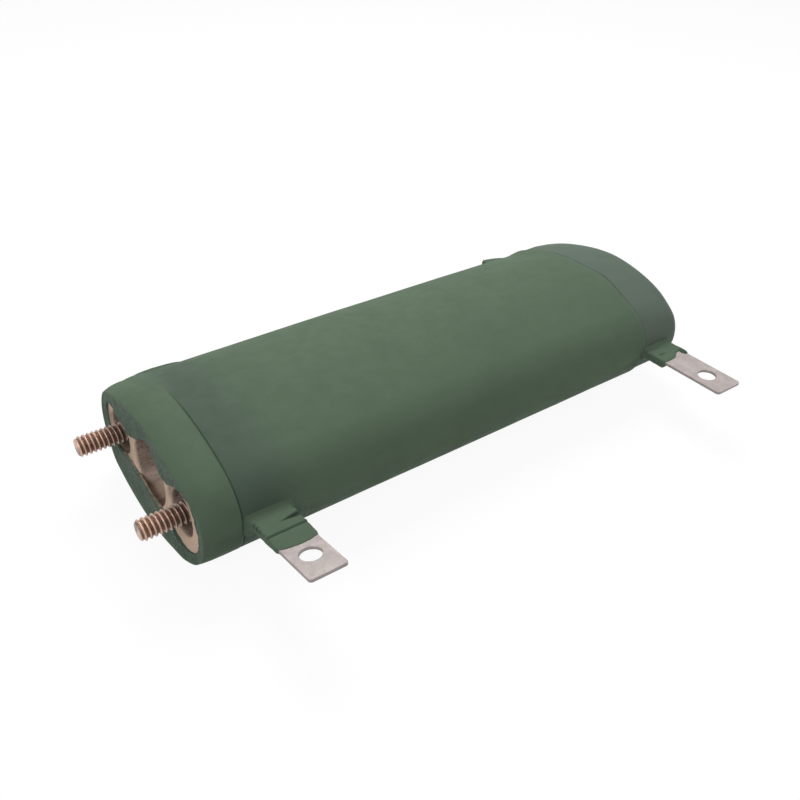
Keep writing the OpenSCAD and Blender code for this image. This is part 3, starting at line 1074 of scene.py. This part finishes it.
def strap_shell(x, bend, tab, tab_w, ear):
    """One band: the strap round the core, its drilled lug, its short end and its ear."""
    s = sizes()
    shell = Shell()
    t, half = s["strap_t"], s["strap_w"] / 2
    ring, way = core_ring()
    rings = []
    for dx, grow in ((-half, 0), (-half, t), (half, t), (half, 0)):
        rings.append(at(x + dx, ring + way * (grow + 0.005)))
    shell.add(np.array(rings), tube_faces(4, len(ring), True))
    _, _, root_y = strap_places()
    lug = Strip(x, root_y, bend)
    tip = CORE_LOW[1] - 0.4 - PLAIN_BAND_LOW[1]
    plate_with_hole(shell, lug, half, tip, tip - s["lug_hole_in"], s["lug_hole_d"] / 2, t,
                    s["lug_corner"], 0.1)
    for strip, low, high, out, end in (
        (lug, tab_w, tab_w + t, -0.8, lambda u: tab + 0 * u),
        (Strip(x, -root_y, 0.0, 1), -t, t, -0.3, ear),
    ):
        u, w = sleeve_section(half, low, high, 0.12, 16, 16, 2, 3).T
        rows = [np.column_stack([u, out + share * (end(u) - out), w])
                for share in np.linspace(0, 1, 6)]
        shell.add(*capped_tube(strip.world(np.array(rows))))
    return shell


def face_soot_and_shade(y, z):
    """Soot stains together with painted shade on the core's face at the stud end."""
    return (smooth(-y, 9.6, 10.6) * smooth(z, -1, 2) * (1 - smooth(-y, 20, 23))
            + 0.4 * smooth(y, 9.8, 10.6) * (1 - smooth(y, 14, 18))
            + 0.85 * smooth(y, 20.5, 21.5) * (1 - smooth(z, 2.0, 4.0)))


def core_shell():
    """The ceramic core, with broken edges at its holes and uneven end faces."""
    s = sizes()
    ring, way = core_ring(24, 24)
    hole_y = (FAR_STUD_LOW[1] + FAR_STUD_HIGH[1]) / 2
    bores = [(np.array([y, 0.0]), d / 2, circle(n)) for y, d, n in (
        (hole_y, s["hole_d"], 72), (-hole_y, s["hole_d"], 72), (0, s["chamber_d"], 96))]
    loops = Loops()

    def put(x, line, bore, soot=0.0):
        return loops.put(at(x, line), bore, soot)

    ends = []
    for plain in (False, True):
        lean = LEAN_PLAIN_END if plain else LEAN_STUD_END
        face = CORE_HIGH[0] if plain else CORE_LOW[0]
        inward = -1 if plain else 1
        chips = []
        for centre, radius, turn in bores:
            spot = at(40.0 * plain, centre + radius * turn)
            chips.append(np.clip(0.22 + 0.16 * uneven(spot, 1.6, 71, 3), 0.06, 0.6)[:, None])
        outline = ring - way * (CORE_BEVEL if plain else 0)
        inside = [
            (y, z) for y in np.arange(-24.5, 24.6, FACE_GRAIN)
            for z in np.arange(-11.5, 11.6, FACE_GRAIN)
            if all(math.hypot(y - c[0], z - c[1]) > r + 0.95 for c, r, _ in bores)
            and in_oval(y, z, outline, 1.2)
        ]
        spot = at(0.0, inside)
        jitter = 0.22 * np.column_stack([uneven(spot, 0.9, seed) for seed in (73, 74)])
        mouths = [c + (r + chip) * turn for (c, r, turn), chip in zip(bores, chips)]
        flat, tris = filled_loops(outline, mouths, np.array(inside) + jitter)
        spot = at(9.0 * plain, flat)
        rough = 0.09 * uneven(spot, 2.2, 75) + 0.05 * uneven(spot, 0.8, 76)
        rough[:len(ring)] = 0
        soot = 0.0 if plain else face_soot_and_shade(*flat.T)
        base = put(face + lean * flat[:, 1] + inward * np.clip(rough, -0.02, 0.3), flat, 0.0, soot)
        loops.fill(base, tris)
        edge, starts = base + len(ring), []
        for (centre, radius, turn), chip in zip(bores, chips):
            n = len(turn)
            for out, deep, bore in ((0.35 * chip, 0.4, 0.1), (0 * chip, 1.1, 0.4)):
                line = centre + (radius + out) * turn
                start = put(face + lean * line[:, 1] + inward * deep * chip[:, 0], line, bore)
                loops.band(starts[-1] if bore > 0.1 else edge, start, n)
                starts.append(start)
            edge += n
        ends.append((base, starts[1::2]))
    total = CORE_HIGH[0] - CORE_LOW[0]
    depths = [0.8, 1.15, *np.linspace(1.7, 42, 24), *np.linspace(46, total - 2.1, 18),
              total - 1.15, total - 0.8]
    for index, (centre, radius, turn) in enumerate(bores):
        line = centre + radius * turn
        # Painted shade with soot: all the walls of the two holes and the chamber's wall above its
        # floor are darkened, fading deeper in.
        upper = smooth(turn[:, 1], -0.8, -0.45) if index == 2 else 1.0
        previous = ends[0][1][index]
        for depth in depths:
            x = (CORE_LOW[0] + depth + LEAN_STUD_END * (1 - smooth(depth, 1, 8)) * line[:, 1]
                 + LEAN_PLAIN_END * smooth(depth, total - 8, total - 1) * line[:, 1])
            dent = 0.07 * uneven(at(x * 0.2, line), 1.5, 77, 3)
            soot = upper * (1 - smooth(x, 30, 60))
            current = put(x, centre + (radius + dent)[:, None] * turn, 1.0, soot)
            loops.band(previous, current, len(turn))
            previous = current
        loops.band(previous, ends[1][1][index], len(turn))
    bevel = put(CORE_HIGH[0] - CORE_BEVEL_L, ring, 0.0)
    loops.band(ends[0][0], bevel, len(ring))
    loops.band(bevel, ends[1][0], len(ring))
    shell = Shell()
    loops.close(shell, ("bore", "soot"))
    return shell


def in_oval(y, z, ring, margin):
    """Whether a point lies inside a ring by at least about margin."""
    scale = 1 + margin / 13
    y, z = y * scale, z * scale
    a, b = ring, np.roll(ring, -1, 0)
    side = (b[:, 0] - a[:, 0]) * (z - a[:, 1]) - (b[:, 1] - a[:, 1]) * (y - a[:, 0])
    return bool((side > 0).all())


def cement_shell(centre_y):
    """Cement plug round a stud, with a hollow, uneven mouth."""
    s = sizes()
    inner, outer = s["shank_d"] / 2, s["hole_d"] / 2
    front, back = CEMENT_LOW[0], CEMENT_HIGH[0]
    turn = circle(48)
    rings = []
    for radius, x, rough in (
        (inner, front + 0.4, 0), (inner + 0.5, front + 0.25, 1), (inner + 1.1, front + 0.5, 1),
        (inner + 1.8, front + 0.55, 1), (outer - 0.6, front + 0.35, 1),
        (outer - 0.02, front + 0.05, 0), (outer - 0.02, back, 0), (outer - 1.2, back - 0.3, 1),
        (inner, back - 0.1, 0),
    ):
        line = radius * turn
        spot = at(x, line + centre_y)
        shift = rough * 0.3 * np.clip(uneven(spot, 1.3, 81, 3), -0.8, 1)
        rings.append(at(x + shift, line + np.array([centre_y, 0])))
    shell = Shell()
    shell.add(np.array(rings), tube_faces(len(rings), len(turn), True))
    return shell


# Node trees


class Tree(Nodes):
    """A geometry node tree under construction."""

    def __init__(self, name, inputs):
        super().__init__(bpy.data.node_groups.new(name, "GeometryNodeTree"))
        self.names = {}
        new_socket = self.tree.interface.new_socket
        for key, kind in (("Geometry", "Geometry"), ("Material", "Material"), *inputs):
            socket = new_socket(key, in_out="INPUT", socket_type="NodeSocket" + kind)
            self.names[key] = socket.identifier
        new_socket("Geometry", in_out="OUTPUT", socket_type="NodeSocketGeometry")
        self.given = self.node("NodeGroupInput").outputs

    def close(self, mesh):
        """Ends the tree in smooth faces, Realize Instances and Set Material."""
        for kind in ("GeometryNodeSetShadeSmooth", "GeometryNodeRealizeInstances"):
            mesh = self.node(kind, {"Geometry": mesh}).outputs["Geometry"]
        painted = self.node("GeometryNodeSetMaterial", {
            "Geometry": mesh, "Material": self.given["Material"],
        })
        self.node("NodeGroupOutput", {"Geometry": painted.outputs["Geometry"]})

    def grown(self, name, seed_mesh, values):
        """A plain mesh object made by running the tree on a seed mesh."""
        holder = link(name + "_seed", seed_mesh)
        modifier = holder.modifiers.new("Build", "NODES")
        modifier.node_group = self.tree
        for key, value in values.items():
            modifier[self.names[key]] = value
        holder.update_tag()
        bpy.context.view_layer.update()
        graph = bpy.context.evaluated_depsgraph_get()
        mesh = bpy.data.meshes.new_from_object(holder.evaluated_get(graph), depsgraph=graph)
        holder.modifiers.remove(modifier)
        bpy.data.objects.remove(holder)
        if not mesh.polygons:
            raise RuntimeError(f"{name}: the node tree made no faces")
        mesh.name = name
        points = np.array([v.co for v in mesh.vertices])
        if signed_volume(points, [tuple(p.vertices) for p in mesh.polygons]) < 0:
            mesh.flip_normals()
        return link(name, mesh)


class Field:
    """A number in a node tree, with arithmetic that adds the nodes for it."""

    def __init__(self, nodes, output):
        self.nodes, self.output = nodes, output

    def math(self, kind, *others):
        return Field(self.nodes, self.nodes.math(kind, self, *others))

    def __add__(self, other):
        return self.math("ADD", other)

    def __sub__(self, other):
        return self.math("SUBTRACT", other)

    def __mul__(self, other):
        return self.math("MULTIPLY", other)

    def __truediv__(self, other):
        return self.math("DIVIDE", other)


def thread_tree():
    """A threaded stud along +X from its tip: chamfered tip, helical thread and plain shank."""
    keys = ("Tip X", "Centre Y", "Thread length", "Shank length", "Thread radius", "Root radius",
            "Tip radius", "Shank radius", "Pitch", "Start angle")
    inputs = [(key, "Float") for key in keys]
    t = Tree("stud_thread", [*inputs, ("Rings", "Int"), ("Around", "Int")])
    tip_x, centre_y, thread_l, shank_l, thread_r, root_r, tip_r, shank_r, pitch, start = (
        Field(t, t.given[key]) for key in keys)
    grid = t.node("GeometryNodeMeshGrid", {
        "Vertices X": t.given["Rings"], "Vertices Y": t.given["Around"],
    })
    place = t.node("GeometryNodeInputPosition").outputs[0]
    parts = t.node("ShaderNodeSeparateXYZ", {0: place}).outputs
    total = thread_l + shank_l
    way = (Field(t, parts["X"]) + 0.5) * (total + tip_r + shank_r) - tip_r
    along = way.math("MAXIMUM", 0.0).math("MINIMUM", total)
    share = Field(t, parts["Y"]) + 0.5
    phase = (along / pitch + start - share).math("FRACT")
    ramp = (phase * 2.0 - 1.0).math("ABSOLUTE")
    depth = t.node("ShaderNodeMapRange", {
        "Value": ramp, "From Min": 0.08, "From Max": 0.84, "To Min": 1.0, "To Max": 0.0,
    }, interpolation_type="LINEAR").outputs["Result"]
    wave = thread_r - Field(t, depth) * (thread_r - root_r)
    angle = share * (2 * math.pi)
    sine, cosine = angle.math("SINE"), angle.math("COSINE")
    spot = t.node("ShaderNodeCombineXYZ", {0: along / pitch, 1: sine, 2: cosine})
    texture = t.node("ShaderNodeTexNoise", {
        "Scale": 9.0, "Detail": 3.0, "Vector": spot.outputs[0],
    })
    nick = (Field(t, texture.outputs[0]) - 0.5) * NICK_DEPTH
    on_shank = along.math("GREATER_THAN", thread_l)
    wave = (wave + nick) * (on_shank * -1.0 + 1.0) + on_shank * shank_r
    tip = (tip_r + way).math("MAXIMUM", 0.0)
    tail = (total - way + shank_r).math("MAXIMUM", 0.0)
    radius = wave.math("MINIMUM", tip.math("MINIMUM", tail))
    put = t.node("ShaderNodeCombineXYZ", {
        0: along + tip_x, 1: radius * cosine + centre_y, 2: radius * sine,
    })
    stored = t.node("GeometryNodeStoreNamedAttribute", {
        "Name": "groove", "Geometry": grid.outputs["Mesh"], "Value": depth,
    }, data_type="FLOAT", domain="POINT")
    moved = t.node("GeometryNodeSetPosition", {
        "Geometry": stored.outputs["Geometry"], "Position": put.outputs[0],
    })
    merged = t.node("GeometryNodeMergeByDistance", {
        "Geometry": moved.outputs["Geometry"], "Distance": 1e-6,
    })
    t.close(merged.outputs["Geometry"])
    return t


def winding_tree():
    """Round wire along a path of edges."""
    t = Tree("wire_winding", (("Wire radius", "Float"), ("Sides", "Int")))
    path = t.node("GeometryNodeMeshToCurve", {"Mesh": t.given["Geometry"]})
    profile = t.node("GeometryNodeCurvePrimitiveCircle", {
        "Radius": t.given["Wire radius"], "Resolution": t.given["Sides"],
    })
    tube = t.node("GeometryNodeCurveToMesh", {
        "Curve": path.outputs["Curve"], "Profile Curve": profile.outputs["Curve"],
        "Fill Caps": True,
    })
    t.close(tube.outputs["Mesh"])
    return t


# Operators


class RESISTOR_OT_coating(bpy.types.Operator):
    """Build the matt coating with its collar, crease, rims, end walls, lug roots and ears"""

    bl_idname = "resistor.coating"
    bl_label = "Coating"

    def execute(self, context):
        shell = Shell()
        coat_body(shell)
        stud_end_lug_coat(shell)
        plain_end_lug_coat(shell)
        ear_coats(shell)
        piece = shell.build("green_coat", green_coating())
        ride(piece, "green_coating", "coating")
        return {"FINISHED"}


class RESISTOR_OT_bands(bpy.types.Operator):
    """Build the two terminal bands with their drilled lugs"""

    bl_idname = "resistor.bands"
    bl_label = "Terminal bands"

    def execute(self, context):
        s = sizes()
        stud_x, plain_x, root_y = strap_places()
        finish = tinned_strap()
        longest = COAT_HIGH[1] - s["skin_t"] + root_y - 2.2
        for name, x, bend, tab, tab_w, table, shift in (
            ("stud_end_band", stud_x, s["stud_end_bend"], 8.6, 0.0, STUD_END_EAR, EAR_SHIFTS[0]),
            ("plain_end_band", plain_x, 0.0, 7.4, -2 * s["strap_t"], PLAIN_END_EAR, EAR_SHIFTS[1]),
        ):
            def ear(u, table=table, shift=shift):
                return np.minimum(longest, read_off(table, u - shift) - 0.5)

            piece = strap_shell(x, bend, tab, tab_w, ear).build(name + "_strap", finish, True)
            ride(piece, "tinned_strap", name)
        return {"FINISHED"}


class RESISTOR_OT_studs(bpy.types.Operator):
    """Build the two threaded studs"""

    bl_idname = "resistor.studs"
    bl_label = "Threaded studs"

    def execute(self, context):
        s = sizes()
        tree = thread_tree()
        finish = coppered_steel()
        thread_r = s["thread_d"] / 2
        for name, low, high, start in (
            ("far_stud", FAR_STUD_LOW, FAR_STUD_HIGH, 0.15),
            ("near_stud", NEAR_STUD_LOW, NEAR_STUD_HIGH, 0.6),
        ):
            lengths = {
                "Tip X": low[0], "Centre Y": (low[1] + high[1]) / 2,
                "Thread length": CEMENT_LOW[0] - low[0], "Shank length": high[0] - CEMENT_LOW[0],
                "Thread radius": thread_r, "Root radius": thread_r - 0.5 * s["thread_pitch"],
                "Tip radius": thread_r - 0.6, "Shank radius": s["shank_d"] / 2,
                "Pitch": s["thread_pitch"],
            }
            piece = tree.grown(name + "_thread", bpy.data.meshes.new(name + "_seed"), {
                "Material": finish, "Start angle": start,
                "Rings": THREAD_RINGS, "Around": THREAD_AROUND,
                **{key: value * MM for key, value in lengths.items()},
            })
            ride(piece, "coppered_steel", name)
        return {"FINISHED"}


class RESISTOR_OT_core(bpy.types.Operator):
    """Build the ceramic core with its two holes and its middle chamber"""

    bl_idname = "resistor.core"
    bl_label = "Ceramic core"

    def execute(self, context):
        piece = core_shell().build("ceramic_body", bare_ceramic())
        ride(piece, "ceramic", "ceramic_core")
        return {"FINISHED"}


class RESISTOR_OT_cement(bpy.types.Operator):
    """Build the cement that holds each stud in its hole"""

    bl_idname = "resistor.cement"
    bl_label = "Stud cement"

    def execute(self, context):
        finish = rough_cement()
        for name in ("far_stud_cement", "near_stud_cement"):
            low, high = node_box(name)
            piece = cement_shell((low[1] + high[1]) / 2).build(name + "_plug", finish)
            ride(piece, "cement", name)
        return {"FINISHED"}


class RESISTOR_OT_winding(bpy.types.Operator):
    """Build the resistance wire on the core"""

    bl_idname = "resistor.winding"
    bl_label = "Resistance winding"

    def execute(self, context):
        s = sizes()
        wire_r = s["wire_d"] / 2
        ring, way = core_ring(14, 16)
        ring = ring + way * wire_r
        first, last = WIRE_LOW[0] + wire_r, WIRE_HIGH[0] - wire_r
        count = int((last - first) / s["wire_pitch"]) * len(ring)
        path = [(first + (last - first) * k / count, *ring[k % len(ring)])
                for k in range(count + 1)]
        seed = bpy.data.meshes.new("wire_path")
        seed.from_pydata((np.array(path) * MM).tolist(), [(k, k + 1) for k in range(count)], [])
        piece = winding_tree().grown("wound_wire", seed, {
            "Material": drawn_wire(), "Wire radius": wire_r * MM, "Sides": WIRE_SIDES,
        })
        ride(piece, "resistance_wire", "resistance_winding")
        return {"FINISHED"}


# Lamps as name, place, aim, size and power, in metres and watts
LAMPS = (
    ("overhead_softbox", (0.22, 0.28, 0.53), (0.07, 0, 0), 0.36, 2.15),
    ("end_fill", (-0.52, -0.06, 0.28), (0.0, 0, 0), 0.4, 0.7),
    ("front_fill", (-0.45, -0.32, 0.42), (0.0, 0, 0), 0.3, 0.7),
    ("side_fill", (0.5, -0.3, 0.22), (0.13, 0, 0), 0.3, 0.65),
)

# Camera: its place in millimetres, its turn, rise and roll in degrees, and its lens
CAMERA_PLACE = (-41.665, -149.843, 122.327)
CAMERA_TURNS = (-36.1693, 35.0601, 0.9483)
FOCAL_PX = 880
PHOTO_PX = 800
SENSOR_MM = 36.0

# Half width of the floor and its distance under the part, in metres
FLOOR_REACH = 1.6
FLOOR_GAP = 0.0002


class RESISTOR_OT_stage(bpy.types.Operator):
    """Set up the floor, the light and the camera"""

    bl_idname = "resistor.stage"
    bl_label = "Stage"

    def execute(self, context):
        scene = context.scene
        scene.view_settings.view_transform = "Standard"
        low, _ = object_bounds()
        mesh = bpy.data.meshes.new("floor")
        corners = [(x * FLOOR_REACH, y * FLOOR_REACH, low.z - FLOOR_GAP)
                   for x, y in ((-1, -1), (1, -1), (1, 1), (-1, 1))]
        mesh.from_pydata(corners, [], [(0, 1, 2, 3)])
        mesh.materials.append(pale_floor())
        link("floor", mesh)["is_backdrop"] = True
        studio_world(scene)
        for name, place, aim, size, power in LAMPS:
            lamp = bpy.data.lights.new(name, "AREA")
            lamp.shape, lamp.size, lamp.energy = "DISK", size, power
            spin = (Vector(aim) - Vector(place)).to_track_quat("-Z", "Y").to_matrix()
            link(name, lamp).matrix_world = Matrix.Translation(place) @ spin.to_4x4()
        camera = bpy.data.cameras.new("photo_camera")
        camera.sensor_width, camera.lens = SENSOR_MM, SENSOR_MM * FOCAL_PX / PHOTO_PX
        camera.clip_start, camera.clip_end = 0.005, 20
        turn, rise, roll = map(math.radians, CAMERA_TURNS)
        level = Vector((math.cos(turn), math.sin(turn), 0))
        flat = math.cos(rise)
        back = Vector((math.sin(turn) * flat, -math.cos(turn) * flat, math.sin(rise)))
        up = back.cross(level)
        right = level * math.cos(roll) + up * math.sin(roll)
        up = up * math.cos(roll) - level * math.sin(roll)
        spin = Matrix((right, up, back)).transposed().to_4x4()
        scene.camera = link("photo_camera", camera)
        scene.camera.matrix_world = Matrix.Translation(Vector(CAMERA_PLACE) * MM) @ spin
        return {"FINISHED"}


def seen_directly(nodes):
    """1 for rays from the camera and for mirrored or passed-through ones, else 0."""
    rays = nodes.node("ShaderNodeLightPath").outputs
    passed = nodes.math("MAXIMUM", rays["Is Glossy Ray"], rays["Is Transmission Ray"])
    return nodes.math("MAXIMUM", rays["Is Camera Ray"], passed)


def pale_floor():
    """Matt pale floor that shows nearly white and still keeps the shadow."""
    material = bpy.data.materials.new("pale_floor")
    material.use_nodes = True
    nodes = Nodes(material.node_tree)
    nodes.tree.nodes.clear()
    diffuse = nodes.node("ShaderNodeBsdfDiffuse", {"Color": (0.6, 0.6, 0.61, 1)})
    glow = nodes.node("ShaderNodeEmission", {"Strength": 1.13})
    share = nodes.math("MULTIPLY", seen_directly(nodes), 0.82)
    mix = nodes.node("ShaderNodeMixShader", {0: share, 1: diffuse.outputs[0], 2: glow.outputs[0]})
    nodes.node("ShaderNodeOutputMaterial", {"Surface": mix.outputs[0]})
    return material


def studio_world(scene):
    """Faint even light that is white where it is seen directly."""
    scene.world = bpy.data.worlds.new("studio")
    scene.world.use_nodes = True
    nodes = Nodes(scene.world.node_tree)
    nodes.tree.nodes.clear()
    soft = nodes.node("ShaderNodeBackground", {"Color": (0.98, 0.99, 1.0, 1), "Strength": 0.1})
    white = nodes.node("ShaderNodeBackground", {"Color": (1, 1, 1, 1)})
    mix = nodes.node("ShaderNodeMixShader", {
        0: seen_directly(nodes), 1: soft.outputs[0], 2: white.outputs[0],
    })
    nodes.node("ShaderNodeOutputWorld", {"Surface": mix.outputs[0]})


class RESISTOR_PT_pieces(bpy.types.Panel):
    """Lists the operators and the sizes and colours that they use"""

    bl_label = "Resistor"
    bl_idname = "RESISTOR_PT_pieces"
    bl_space_type = "VIEW_3D"
    bl_region_type = "UI"
    bl_category = "Resistor"

    def draw(self, context):
        for operator in OPERATORS:
            self.layout.operator(operator.bl_idname)
        for group, owner in ((context.scene.resistor_sizes, ResistorSizes),
                             (context.scene.resistor_finishes, ResistorFinishes)):
            box = self.layout.box()
            for key in owner.__annotations__:
                box.prop(group, key)


OPERATORS = (
    RESISTOR_OT_coating, RESISTOR_OT_bands, RESISTOR_OT_studs, RESISTOR_OT_core,
    RESISTOR_OT_cement, RESISTOR_OT_winding, RESISTOR_OT_stage,
)
CLASSES = (ResistorSizes, ResistorFinishes, *OPERATORS, RESISTOR_PT_pieces)


def register():
    for cls in CLASSES:
        bpy.utils.register_class(cls)
    bpy.types.Scene.resistor_sizes = PointerProperty(type=ResistorSizes)
    bpy.types.Scene.resistor_finishes = PointerProperty(type=ResistorFinishes)


def unregister():
    del bpy.types.Scene.resistor_finishes
    del bpy.types.Scene.resistor_sizes
    for cls in reversed(CLASSES):
        bpy.utils.unregister_class(cls)


def main():
    register()
    bpy.ops.resistor.coating()
    bpy.ops.resistor.bands()
    bpy.ops.resistor.studs()
    bpy.ops.resistor.core()
    bpy.ops.resistor.cement()
    bpy.ops.resistor.winding()
    bpy.ops.resistor.stage()


if __name__ == "__main__":
    main()
